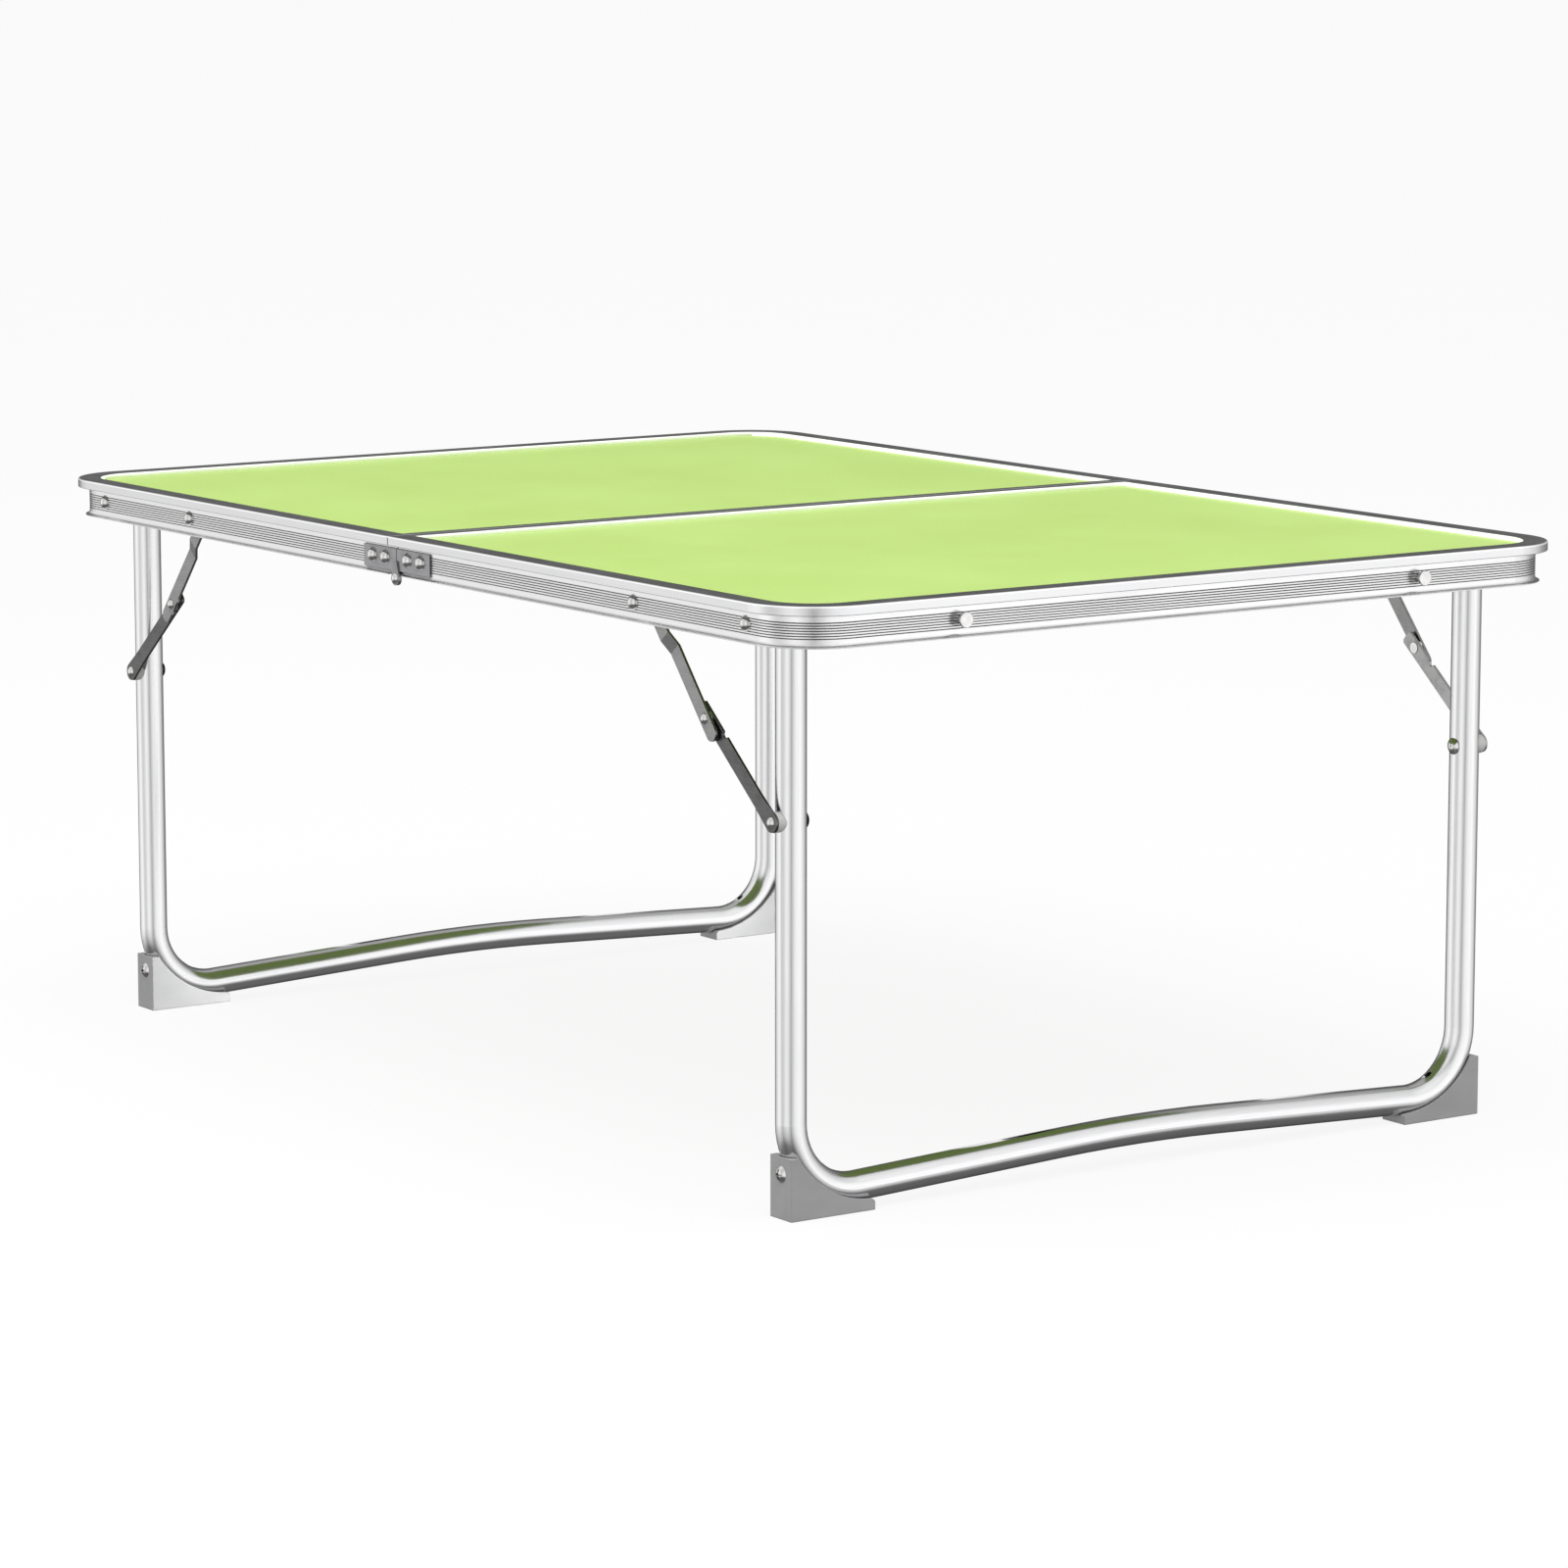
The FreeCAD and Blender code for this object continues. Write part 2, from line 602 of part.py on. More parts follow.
def along_piece(name, steps, y, z):
    """A turned piece whose axis runs along the table at (y, z). steps hold (radius, x) corners."""
    body = new_body(name)
    sketch = sketch_on(body, "XZ_Plane")
    outline(sketch, [(step[1], step[0], *domed(step)) for step in steps])
    turn(body, sketch, "H_Axis")
    body.setExpression(".Placement.Base.y", y)
    body.setExpression(".Placement.Base.z", z)
    return body


def seam_rivet():
    """Ties the bracket to the seam rail: low domed head on the bracket, tail inside the rail."""
    face = "Size.seam_face + Size.slot_play + Size.bracket_thick"
    inside = "Size.seam_face - Size.seam_wall"
    return along_piece("seam_rivet", [
        ("0", f"{inside} - 0.6"),
        ("Size.inner_tail", f"{inside} - 0.6"),
        ("Size.inner_tail", inside),
        ("Size.leaf_rivet_shank", inside),
        ("Size.leaf_rivet_shank", face),
        ("Size.inner_tail", face, dome("Size.inner_tail", "Size.inner_tail_dome")),
        ("0", f"{face} + Size.inner_tail_dome"),
    ], f"-({WALL_Y} - 9)", STUD_Z)


# ---------------------------------------------------------------- pivots and latch studs

def leg_pivot():
    """The rivet a leg turns on: rail, spacer and both walls of the tube."""
    return rivet(
        "leg_pivot", "Size.leg_pivot_x", PIVOT_Z, "Size.pivot_shank",
        "Size.rivet_head", WEB_Y, "Size.rivet_dome",
        "Size.brace_tail", f"{TUBE_IN} - Size.running_play", "Size.tail_dome",
    )


def ring(name, x, z, bore, radius, outer_y, inner_y):
    """A plain washer or sleeve between two layers."""
    return turned(name, [(bore, outer_y), (radius, outer_y), (radius, inner_y), (bore, inner_y)], x, z)


def brace_pivot():
    """The rivet a brace's upper arm turns on."""
    return rivet(
        "brace_pivot", BRACE_X, PIVOT_Z, "Size.brace_shank",
        "Size.rivet_head", WEB_Y, "Size.rivet_dome",
        "Size.inner_tail", "Size.arm_head_y - Size.running_play", "Size.inner_tail_dome",
    )


def latch_stud():
    """A flat-faced headed stud on the end rail. Its neck holds a latch plate."""
    bevel = "Size.stud_bevel"
    start, finish = f"{WEB_X} + Size.stud_head_start", f"{WEB_X} + Size.stud_head_end"
    inside = f"{WEB_X} - Size.rail_wall"
    return along_piece("latch_stud", [
        ("0", f"{inside} - 0.8"),
        ("Size.inner_tail", f"{inside} - 0.8"),
        ("Size.inner_tail", inside),
        ("Size.stud_neck", inside),
        ("Size.stud_neck", start),
        ("Size.stud_head", start),
        ("Size.stud_head", f"{finish} - {bevel}"),
        (f"Size.stud_head - {bevel}", finish),
        ("0", finish),
    ], "-Size.stud_spread", STUD_Z)


def latch():
    """Half A's front latch: a plate on its pivot stud, its hook slot open downwards at rest."""
    body = new_body("latch_front")
    reach = f"(2 * ({STUD_Z} - {HINGE_Z}))"
    half, tail = "(Size.latch_width / 2)", "Size.latch_tail"
    pivot = "-Size.stud_spread"
    hook = f"({pivot} + {reach})"
    end = f"({hook} + {tail})"
    slot = "(Size.stud_neck + 2 * Size.running_play)"
    low, high = f"{STUD_Z} - {half}", f"{STUD_Z} + {half}"
    sketch = sketch_on(body, "YZ_Plane", f"-({WEB_X} + Size.latch_start + Size.latch_thick)")
    outline(sketch, [
        (pivot, high, half, 1),
        (f"{pivot} - {half}", STUD_Z, half, 1),
        (pivot, low),
        (f"{hook} - {slot}", low),
        (f"{hook} - {slot}", STUD_Z, slot, -1),
        (hook, f"{STUD_Z} + {slot}", slot, -1),
        (f"{hook} + {slot}", STUD_Z),
        (f"{hook} + {slot}", low),
        (end, f"{low} + 1"),
        (end, f"{high} - 1"),
        (f"{end} - 1", high),
    ])
    pad(body, sketch, "Size.latch_thick")
    bore = sketch_on(body, "YZ_Plane")
    circle(bore, pivot, STUD_Z, "Size.stud_neck + Size.running_play")
    cut_through(body, bore)
    return body


# ---------------------------------------------------------------- leg frame

def leg_path(start_z):
    """The middle line of the leg tube from the front leg's top, under the bar's crown, to the back leg's."""
    spread, bend = "Size.leg_spread", "Size.bend_radius"
    sweep = "Size.bar_slope * 1deg"
    knee_y = f"({spread} - {bend} + {bend} * sin({sweep}))"
    knee_z = f"(Size.bend_height - {bend} * cos({sweep}))"
    crown_y = f"(Size.crown_radius * sin({sweep}))"
    crown_z = f"({knee_z} + ({knee_y} - 2 * {bend} * sin({sweep}) - {crown_y}) * tan({sweep}))"
    top = f"({crown_z} + Size.crown_radius * (1 - cos({sweep})))"
    foot = f"({spread} - {bend})"
    low = f"(Size.bend_height - {bend})"
    bend_end = f"({foot} - {bend} * sin({sweep}))"
    return [
        (f"-{spread}", start_z),
        (f"-{spread}", "Size.bend_height", bend, 1),
        (f"-{foot}", low, bend, 1),
        (f"-{bend_end}", knee_z),
        (f"-{crown_y}", crown_z, "Size.crown_radius", -1),
        ("0", top, "Size.crown_radius", -1),
        (crown_y, crown_z),
        (bend_end, knee_z, bend, 1),
        (foot, low, bend, 1),
        (spread, "Size.bend_height"),
        (spread, start_z),
    ]


def leg_tube():
    """The bent tube, its two tops rounded about the pivot, drilled for pivots, braces and foot screws."""
    body = new_body("leg_tube")
    spine = sketch_on(body, "YZ_Plane", "Size.leg_pivot_x")
    start = f"{PIVOT_Z} + Size.tube_radius"
    outline(spine, leg_path(start), closed=False)
    section = sketch_on(body, "XY_Plane", start)
    circle(section, "Size.leg_pivot_x", "-Size.leg_spread", "Size.tube_radius")
    circle(section, "Size.leg_pivot_x", "-Size.leg_spread", "Size.tube_radius - Size.tube_wall")
    pipe(body, section, spine)

    # each top is cut round, so that it turns clear under the panel
    x, radius = "Size.leg_pivot_x", "Size.tube_radius"
    rounding = sketch_on(body, "XZ_Plane")
    outline(rounding, [
        (f"{x} + {radius}", PIVOT_Z, radius, 1),
        (x, f"{PIVOT_Z} + {radius}", radius, 1),
        (f"{x} - {radius}", PIVOT_Z),
        (f"{x} - {radius} - {MARGIN}", PIVOT_Z),
        (f"{x} - {radius} - {MARGIN}", f"{PIVOT_Z} + {radius} + {MARGIN}"),
        (f"{x} + {radius} + {MARGIN}", f"{PIVOT_Z} + {radius} + {MARGIN}"),
        (f"{x} + {radius} + {MARGIN}", PIVOT_Z),
    ])
    cut_through(body, rounding)

    holes = sketch_on(body, "XZ_Plane")
    circle(holes, x, PIVOT_Z, "Size.pivot_shank + Size.running_play")
    circle(holes, x, BRACE_Z, "Size.brace_shank")
    cut_through(body, holes)

    screw_holes = sketch_on(body, "XZ_Plane")
    circle(screw_holes, x, "Size.foot_screw_z", "Size.screw_shank")
    cut_through(body, screw_holes)
    return body


def foot_side(distance):
    """A sketch x for a distance inwards from the foot's outer face, at the front."""
    return f"{distance} - Size.foot_face"


def foot():
    """A plastic shoe, open on top, that the tube's bend lies in."""
    body = new_body("foot")
    side = sketch_on(body, "YZ_Plane", "Size.leg_pivot_x")
    outline(side, [
        (foot_side("0"), "0"),
        (foot_side("Size.foot_length"), "0"),
        (foot_side("Size.foot_length"), "Size.foot_tail"),
        (foot_side("Size.foot_curve_x"), "Size.foot_curve_z", "Size.foot_curve_radius", -1),
        (foot_side("Size.foot_top"), "Size.foot_height"),
        (foot_side("0"), "Size.foot_height"),
    ])
    pad(body, side, "Size.foot_thick", symmetric=True)

    # the bed of the tube: a round channel along its bend
    spine = sketch_on(body, "YZ_Plane", "Size.leg_pivot_x")
    path = leg_path(PIVOT_Z)
    outline(spine, path[:4] + [path[4][:2]], closed=False)
    section = sketch_on(body, "XY_Plane", PIVOT_Z)
    circle(section, "Size.leg_pivot_x", "-Size.leg_spread", "Size.tube_radius + Size.foot_play")
    pipe(body, section, spine, "PartDesign::SubtractivePipe")

    screw_hole = sketch_on(body, "XZ_Plane", "Size.foot_face")
    circle(screw_hole, "Size.leg_pivot_x", "Size.foot_screw_z", "Size.screw_shank")
    cut_depth(body, screw_hole, "8", inwards=True)
    return body


def foot_screw():
    """A pan-head screw with a cross recess, through the shoe's end wall into the tube."""
    shank, face = "Size.screw_shank", "Size.foot_face"
    body = turned("foot_screw", [
        ("0", f"{face} + Size.screw_dome", dome("Size.screw_head", "Size.screw_dome")),
        ("Size.screw_head", face),
        (shank, face),
        (shank, f"{face} - Size.screw_length + 1.5"),
        ("0", f"{face} - Size.screw_length"),
    ], "Size.leg_pivot_x", "Size.foot_screw_z")
    cross = sketch_on(body, "XZ_Plane", f"{face} + Size.screw_dome")
    long, wide = "Size.recess_length / 2", "Size.recess_width / 2"
    outline(cross, [
        (f"-{long}", f"-{wide}"), (f"-{wide}", f"-{wide}"), (f"-{wide}", f"-{long}"),
        (wide, f"-{long}"), (wide, f"-{wide}"), (long, f"-{wide}"),
        (long, wide), (wide, wide), (wide, long),
        (f"-{wide}", long), (f"-{wide}", wide), (f"-{long}", wide),
    ])
    cut_depth(body, cross, "Size.recess_depth", inwards=True)
    return body


def brace_rivet():
    """The tail half of the rivet at a brace's foot, in the spacer and the tube."""
    end = "Size.lower_arm_y - Size.running_play"
    return turned("brace_rivet", [
        ("0", end),
        ("Size.brace_shank", end),
        ("Size.brace_shank", TUBE_IN),
        ("Size.brace_tail", TUBE_IN, dome("Size.brace_tail", "Size.tail_dome")),
        ("0", f"{TUBE_IN} - Size.tail_dome"),
    ], "Size.leg_pivot_x", BRACE_Z)


def saddle_spacer():
    """The ring between lower arm and tube, hollowed to sit on the tube."""
    body = ring(
        "saddle_spacer", "Size.leg_pivot_x", BRACE_Z, "Size.brace_shank", "Size.saddle_radius",
        "Size.lower_arm_y - Size.running_play", f"{TUBE_OUT} - 3",
    )
    hollow = sketch_on(body, "XY_Plane")
    circle(hollow, "0", "-Size.leg_spread", "Size.tube_radius")
    cut_through(body, hollow)
    return body


# ---------------------------------------------------------------- braces

def arm_half():
    """Half the distance between the brace's two end pivots, and the length of each arm."""
    half = "(Size.link_span / sqrt(2))"
    return half, f"sqrt({half} ^ 2 + Size.knee_over ^ 2)"


ARM_LENGTH = arm_half()[1]
ARM_LEAN = f"(45deg + atan(Size.knee_over / {arm_half()[0]}))"
LOWER_LEAN = f"(45deg - atan(Size.knee_over / {arm_half()[0]}))"
KNEE_X = f"({BRACE_X} + {ARM_LENGTH} * cos({ARM_LEAN}))"
KNEE_Z = f"({PIVOT_Z} - {ARM_LENGTH} * sin({ARM_LEAN}))"


def lay_along(body, x, z, lean):
    """Puts a piece drawn along +X from its pivot at (x, z), leaning down by an angle."""
    body.Placement.Rotation = FreeCAD.Rotation(FreeCAD.Vector(0, 1, 0), value(lean))
    body.setExpression(".Placement.Rotation.Angle", lean)
    body.setExpression(".Placement.Base.x", x)
    body.setExpression(".Placement.Base.z", z)


def trim_strip(body, shape, holes):
    """Cuts a bent strip to the outline of its flat face and drills it."""
    frame = sketch_on(body, "XZ_Plane")
    far = f"{ARM_LENGTH} + 30"
    box(frame, "-30", "-30", far, "30")
    outline(frame, shape)
    cut_through(body, frame)
    drill = sketch_on(body, "XZ_Plane")
    for x, radius in holes:
        circle(drill, x, "0", radius)
    cut_through(body, drill)


def upper_arm(eared):
    """The arm from the rail, bent inwards below the rail. Half A's have two small stop ears by the knee."""
    body = new_body("upper_arm")
    strip = sketch_on(body, "XY_Plane")
    thick = "Size.arm_thick"
    head, low = "Size.arm_head_y", "Size.upper_arm_y"
    start, finish = "Size.joggle_start", "Size.joggle_end"
    end = f"{ARM_LENGTH} + Size.upper_tail"
    outline(strip, [
        ("-10", f"-({head} + {thick})"),
        (start, f"-({head} + {thick})"),
        (finish, f"-({low} + {thick})"),
        (end, f"-({low} + {thick})"),
        (end, f"-{low}"),
        (finish, f"-{low}"),
        (start, f"-{head}"),
        ("-10", f"-{head}"),
    ])
    pad(body, strip, "2 * Size.arm_width", symmetric=True)
    half = "(Size.arm_width / 2)"
    ear = f"(-{half} - Size.tab_reach)"
    round_start = f"({end} - {half})"
    ears = []
    places = (f"({ARM_LENGTH} - Size.tab_place)", f"({ARM_LENGTH} + 1)")
    for place in places if eared else ():
        ears += [
            (place, f"-{half}"),
            (f"{place} + 0.4", ear),
            (f"{place} + Size.tab_length - 0.4", ear),
            (f"{place} + Size.tab_length", f"-{half}"),
        ]
    shape = [
        ("0", half, half, 1),
        (f"-{half}", "0", half, 1),
        ("0", f"-{half}"),
        *ears,
        (round_start, f"-{half}", half, 1),
        (f"{round_start} + {half}", "0", half, 1),
        (round_start, half),
    ]
    trim_strip(body, shape, [
        ("0", "Size.brace_shank + Size.running_play"),
        (ARM_LENGTH, "Size.knee_shank"),
    ])
    lay_along(body, BRACE_X, PIVOT_Z, ARM_LEAN)
    return body


def lower_arm():
    """The arm to the leg: flat, with a square end past the knee and a round notch below it."""
    body = new_body("lower_arm")
    strip = sketch_on(body, "XY_Plane")
    end = f"({ARM_LENGTH} + Size.lower_tail)"
    low = "Size.lower_arm_y"
    box(strip, "-10", f"-({low} + Size.arm_thick)", end, f"-{low}")
    pad(body, strip, "2 * Size.arm_width", symmetric=True)
    half, wide = "(Size.arm_width / 2)", "(Size.arm_width / 2 + 0.6)"
    notch, radius = f"({ARM_LENGTH} - Size.notch_place)", "Size.notch_radius"
    shape = [
        ("0", wide, wide, 1),
        (f"-{wide}", "0", wide, 1),
        ("0", f"-{wide}"),
        ("12", f"-{half}"),
        (f"{notch} - {radius}", f"-{half}", radius, -1),
        (notch, f"{radius} - {half}", radius, -1),
        (f"{notch} + {radius}", f"-{half}"),
        (f"{end} - 1", f"-{half}"),
        (end, f"-{half} + 1"),
        (end, f"{half} - 1"),
        (f"{end} - 1", half),
        ("12", half),
    ]
    trim_strip(body, shape, [
        ("0", "Size.brace_shank"),
        (ARM_LENGTH, "Size.knee_shank + Size.running_play"),
    ])
    lay_along(body, "Size.leg_pivot_x", BRACE_Z, f"(180deg + {LOWER_LEAN})")
    return body


def knee_rivet():
    """The rivet that joins the two arms: domed head outside, thin tail on the lower arm's inner side."""
    outer, inner = "Size.upper_arm_y + Size.arm_thick", "Size.lower_arm_y - Size.running_play"
    return turned("knee_rivet", [
        ("0", f"{outer} + Size.knee_dome", dome("Size.knee_head", "Size.knee_dome")),
        ("Size.knee_head", outer),
        ("Size.knee_shank", outer),
        ("Size.knee_shank", inner),
        ("Size.knee_tail", inner),
        ("Size.knee_tail", f"{inner} - Size.knee_tail_thick"),
        ("0", f"{inner} - Size.knee_tail_thick"),
    ], KNEE_X, KNEE_Z)


def brace_rivet_head():
    """The head half of the rivet at a brace's foot, carried by the lower arm."""
    outer = "Size.lower_arm_y + Size.arm_thick"
    return turned("brace_rivet_head", [
        ("0", f"{outer} + Size.brace_dome", dome("Size.brace_head", "Size.brace_dome")),
        ("Size.brace_head", outer),
        ("Size.brace_shank", outer),
        ("Size.brace_shank", "Size.lower_arm_y"),
        ("0", "Size.lower_arm_y"),
    ], "Size.leg_pivot_x", BRACE_Z)


# ---------------------------------------------------------------- assembly

def build_halves():
    both_halves(rim_rail(), "rim_rail")
    both_halves(seam_rail(), "seam_rail")
    both_halves(table_panel(), "table_panel")
    front_and_back(seam_bracket(), "seam_brackets")
    front_and_back(seam_rivet(), "seam_rivets")
    front_and_back(leg_pivot(), "leg_pivot_rivets")
    front_and_back(brace_pivot(), "brace_pivot_rivets")
    front_and_back(latch_stud(), "latch_studs")
    play = "Size.running_play"
    front_and_back(ring(
        "leg_pivot_spacer", "Size.leg_pivot_x", PIVOT_Z, "Size.pivot_shank", "Size.spacer_radius",
        WALL_Y, f"{TUBE_OUT} + {play}",
    ), "leg_pivot_spacers")
    front_and_back(ring(
        "brace_pivot_spacer", BRACE_X, PIVOT_Z, "Size.brace_shank", "Size.saddle_radius",
        WALL_Y, f"Size.arm_head_y + Size.arm_thick + {play}",
    ), "brace_pivot_spacers")


def build_hinge():
    lug, ear = hinge_lug_leaf(), hinge_ear_leaf()
    node(lug, "hinge_leaf_b_front")
    node(mirrored(lug, ACROSS), "hinge_leaf_b_back")
    node(ear, "hinge_leaf_a_front")
    node(mirrored(ear, ACROSS), "hinge_leaf_a_back")
    pin = hinge_pin()
    group([pin, mirrored(pin, ACROSS)], "hinge_pins")
    rivets = [leaf_rivet(place) for place in ("Size.leaf_rivet_one", "Size.leaf_rivet_two")]
    four = group(rivets + [mirrored(r, ACROSS) for r in rivets], "hinge_rivets_b")
    node(mirrored(four, ALONG), "hinge_rivets_a")
    plate = latch()
    node(plate, "latch_front")
    node(mirrored(plate, ACROSS), "latch_back")


def build_legs():
    both_halves(leg_tube(), "leg_tube")
    front_and_back(foot(), "feet")
    front_and_back(foot_screw(), "foot_screws")
    front_and_back(brace_rivet(), "brace_rivets")
    front_and_back(saddle_spacer(), "saddle_spacers")


def build_braces():
    four_corners(upper_arm(eared=False), "upper_arm", other=upper_arm(eared=True))
    four_corners(lower_arm(), "lower_arm")
    four_corners(knee_rivet(), "knee_rivet")
    four_corners(brace_rivet_head(), "brace_rivet_head")
    washer = ring(
        "knee_washer", KNEE_X, KNEE_Z, "Size.knee_shank", "Size.washer_radius",
        "Size.washer_y + Size.washer_thick", "Size.washer_y",
    )
    four_corners(washer, "knee_washer")


def check_document():
    """Stops unless every object is up to date, every cut cuts and every sub-part is a valid solid."""
    for thing in doc.Objects:
        if {"Invalid", "Error"} & set(thing.State):
            raise RuntimeError(f"{thing.Name} of {thing.Label} failed: {thing.getStatusString()}")
    for body in (o for o in doc.Objects if o.TypeId == "PartDesign::Body"):
        before = 0
        for feature in (f for f in body.Group if f.isDerivedFrom("PartDesign::Feature")):
            after = feature.Shape.Volume
            cuts = any(w in feature.TypeId for w in ("Pocket", "Groove", "Subtractive"))
            if abs(after - before) < 1e-4 or (after < before) != cuts:
                raise RuntimeError(f"{feature.Name} in {body.Label} went from {before} to {after} mm3")
            before = after
    for piece in nodes:
        if piece.Shape.isNull() or not piece.Shape.isValid() or not piece.Shape.Solids:
            raise RuntimeError(f"{piece.Label} has no valid solid")


build_halves()
build_hinge()
build_legs()
build_braces()
doc.recompute()
check_document()
os.makedirs("parts", exist_ok=True)
for piece in nodes:
    piece.Shape.exportStep(f"parts/{piece.Label}.step")
print(len(nodes), "sub-parts,", sum(len(p.Shape.Solids) for p in nodes), "solids")
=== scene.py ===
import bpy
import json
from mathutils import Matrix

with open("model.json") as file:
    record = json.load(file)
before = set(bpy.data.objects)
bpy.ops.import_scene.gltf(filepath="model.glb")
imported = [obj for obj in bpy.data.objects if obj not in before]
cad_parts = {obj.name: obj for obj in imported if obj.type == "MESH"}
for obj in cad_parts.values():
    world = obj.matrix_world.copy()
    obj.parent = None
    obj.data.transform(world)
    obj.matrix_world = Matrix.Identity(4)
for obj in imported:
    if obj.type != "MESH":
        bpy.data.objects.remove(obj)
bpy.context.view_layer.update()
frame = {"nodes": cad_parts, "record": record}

import json
import math

import bpy
from mathutils import Vector

MM = 0.001

# Colours as linear RGB
ALUMINIUM = (0.92, 0.92, 0.93)
ALUMINIUM_DULL = (0.84, 0.84, 0.85)
STEEL = (0.46, 0.46, 0.47)
STEEL_DARK = (0.35, 0.35, 0.36)
NICKEL = (0.78, 0.77, 0.76)
GREEN = (0.51, 0.72, 0.195)
GREEN_PALE = (0.535, 0.75, 0.22)
FOOT_GREY = (0.37, 0.37, 0.375)
FOOT_PALE = (0.43, 0.43, 0.435)
NYLON = (0.62, 0.62, 0.60)

# Where the rim's features lie, in metres: heights above the floor, and edges counted outwards
# from the line of the corner arcs' centres
HALF_LENGTH = 0.300
HALF_WIDTH = 0.200
CORNER_RADIUS = 0.031
WALL_FOOT = 245.3 * MM
WALL_ENDS = (247.2 * MM, 247.45 * MM)
ACROSS_WALL_SHADE = (246.45 * MM, 246.75 * MM)
INNER_EDGE = 20.75 * MM
OUTER_EDGE = 22 * MM
WEB_TOP = 243.5 * MM
WEB_EDGE = 24 * MM
LIP_TOP = 247.1 * MM
TOP_EDGE = (30.3 * MM, 30.6 * MM)
TOP_EDGE_HEIGHT = (246.8 * MM, 247.0 * MM)
FIRST_GROOVE = 234.2 * MM
GROOVE_PITCH = 1.03 * MM
GROOVES = 7
GROOVE_EDGE = 25 * MM
SEAM_RAIL_REACH = 5.3 * MM
SEAM_RAIL_HALF = 189.6 * MM
# Where the seam's painted shade and highlight fade out, counted from the seam, in metres
SEAM_SHADE_AND_HIGHLIGHT = (0.20 * MM, 0.45 * MM)

# Heights between which a leg tube bends from its bottom bar into its legs, in metres
TUBE_BEND = (0.020, 0.036)


# ---------------------------------------------------------------- node helpers

class Graph:
    """A material's node tree, built up one node at a time."""

    def __init__(self, name):
        self.material = bpy.data.materials.new(name)
        self.material.use_nodes = True
        self.tree = self.material.node_tree
        self.tree.nodes.clear()
        self.output = self.tree.nodes.new("ShaderNodeOutputMaterial")

    def put(self, socket, value):
        if isinstance(value, bpy.types.NodeSocket):
            self.tree.links.new(value, socket)
        elif isinstance(value, tuple) and len(value) == 3 and socket.type == "RGBA":
            socket.default_value = (*value, 1)
        else:
            socket.default_value = value

    def node(self, kind, output=0, inputs=None, **settings):
        made = self.tree.nodes.new("ShaderNode" + kind)
        for key, value in settings.items():
            setattr(made, key, value)
        for key, value in (inputs or {}).items():
            self.put(made.inputs[key], value)
        return made.outputs[output]

    def math(self, operation, a, b=0.0):
        return self.node("Math", inputs={0: a, 1: b}, operation=operation)

    def plus(self, a, b):
        return self.math("ADD", a, b)

    def minus(self, a, b):
        return self.math("SUBTRACT", a, b)

    def times(self, a, b):
        return self.math("MULTIPLY", a, b)

    def absolute(self, value):
        return self.math("ABSOLUTE", value)

    def above(self, value, limit):
        """1 where value is over limit, 0 elsewhere."""
        return self.math("GREATER_THAN", value, limit)

    def below(self, value, limit):
        """1 where value is under limit, 0 elsewhere."""
        return self.math("LESS_THAN", value, limit)

    def opposite(self, share):
        return self.minus(1.0, share)

    def mix(self, factor, a, b):
        made = self.tree.nodes.new("ShaderNodeMix")
        made.data_type = "RGBA"
        self.put(made.inputs[0], factor)
        self.put(made.inputs[6], a)
        self.put(made.inputs[7], b)
        return made.outputs[2]

    def spread(self, value, low, high, to_low=0.0, to_high=1.0):
        """Maps low..high to to_low..to_high, smoothly and clamped."""
        return self.node("MapRange", inputs={0: value, 1: low, 2: high, 3: to_low, 4: to_high},
                         interpolation_type="SMOOTHSTEP")

    def place(self):
        """Where the point is in the table's own frame, in metres, moving with its piece."""
        return self.node("TexCoord", "Object")

    def split(self, vector):
        made = self.tree.nodes.new("ShaderNodeSeparateXYZ")
        self.tree.links.new(vector, made.inputs[0])
        return made.outputs

    def join(self, x, y, z):
        return self.node("CombineXYZ", inputs={0: x, 1: y, 2: z})

    def noise(self, vector, scale, detail=3.0, rough=0.5):
        return self.node("TexNoise", "Fac", {"Vector": vector, "Scale": scale, "Detail": detail,
                                             "Roughness": rough})

    def stretched(self, vector, scales, rotation=(0, 0, 0)):
        return self.node("Mapping", inputs={"Vector": vector, "Rotation": rotation, "Scale": scales})

    def bump(self, height, distance, strength=1.0, normal=None):
        inputs = {"Height": height, "Distance": distance, "Strength": strength}
        if normal is not None:
            inputs["Normal"] = normal
        return self.node("Bump", inputs=inputs)

    def soft_edges(self, radius):
        return self.node("Bevel", inputs={"Radius": radius}, samples=4)

    def edge_wear(self, radius):
        """1 on sharp edges, 0 on faces."""
        rounded = self.soft_edges(radius)
        flat = self.node("NewGeometry", "Normal")
        same = self.node("VectorMath", "Value", {0: rounded, 1: flat}, operation="DOT_PRODUCT")
        return self.spread(same, 0.995, 0.85)

    def painted_crease_shade(self, reach, amount):
        """Painted shade: up to amount where another surface stands within reach, 0 in the open."""
        open_sky = self.node("AmbientOcclusion", "AO", {"Distance": reach}, samples=6)
        return self.spread(open_sky, 0.35, 0.9, amount, 0.0)

    def surface(self, **inputs):
        """Ends the tree in one principled surface."""
        made = self.tree.nodes.new("ShaderNodeBsdfPrincipled")
        for key, value in inputs.items():
            self.put(made.inputs[key.replace("_", " ")], value)
        self.tree.links.new(made.outputs[0], self.output.inputs["Surface"])
        return self.material


# ---------------------------------------------------------------- materials

def scaled(colour, share):
    return tuple(channel * share for channel in colour)


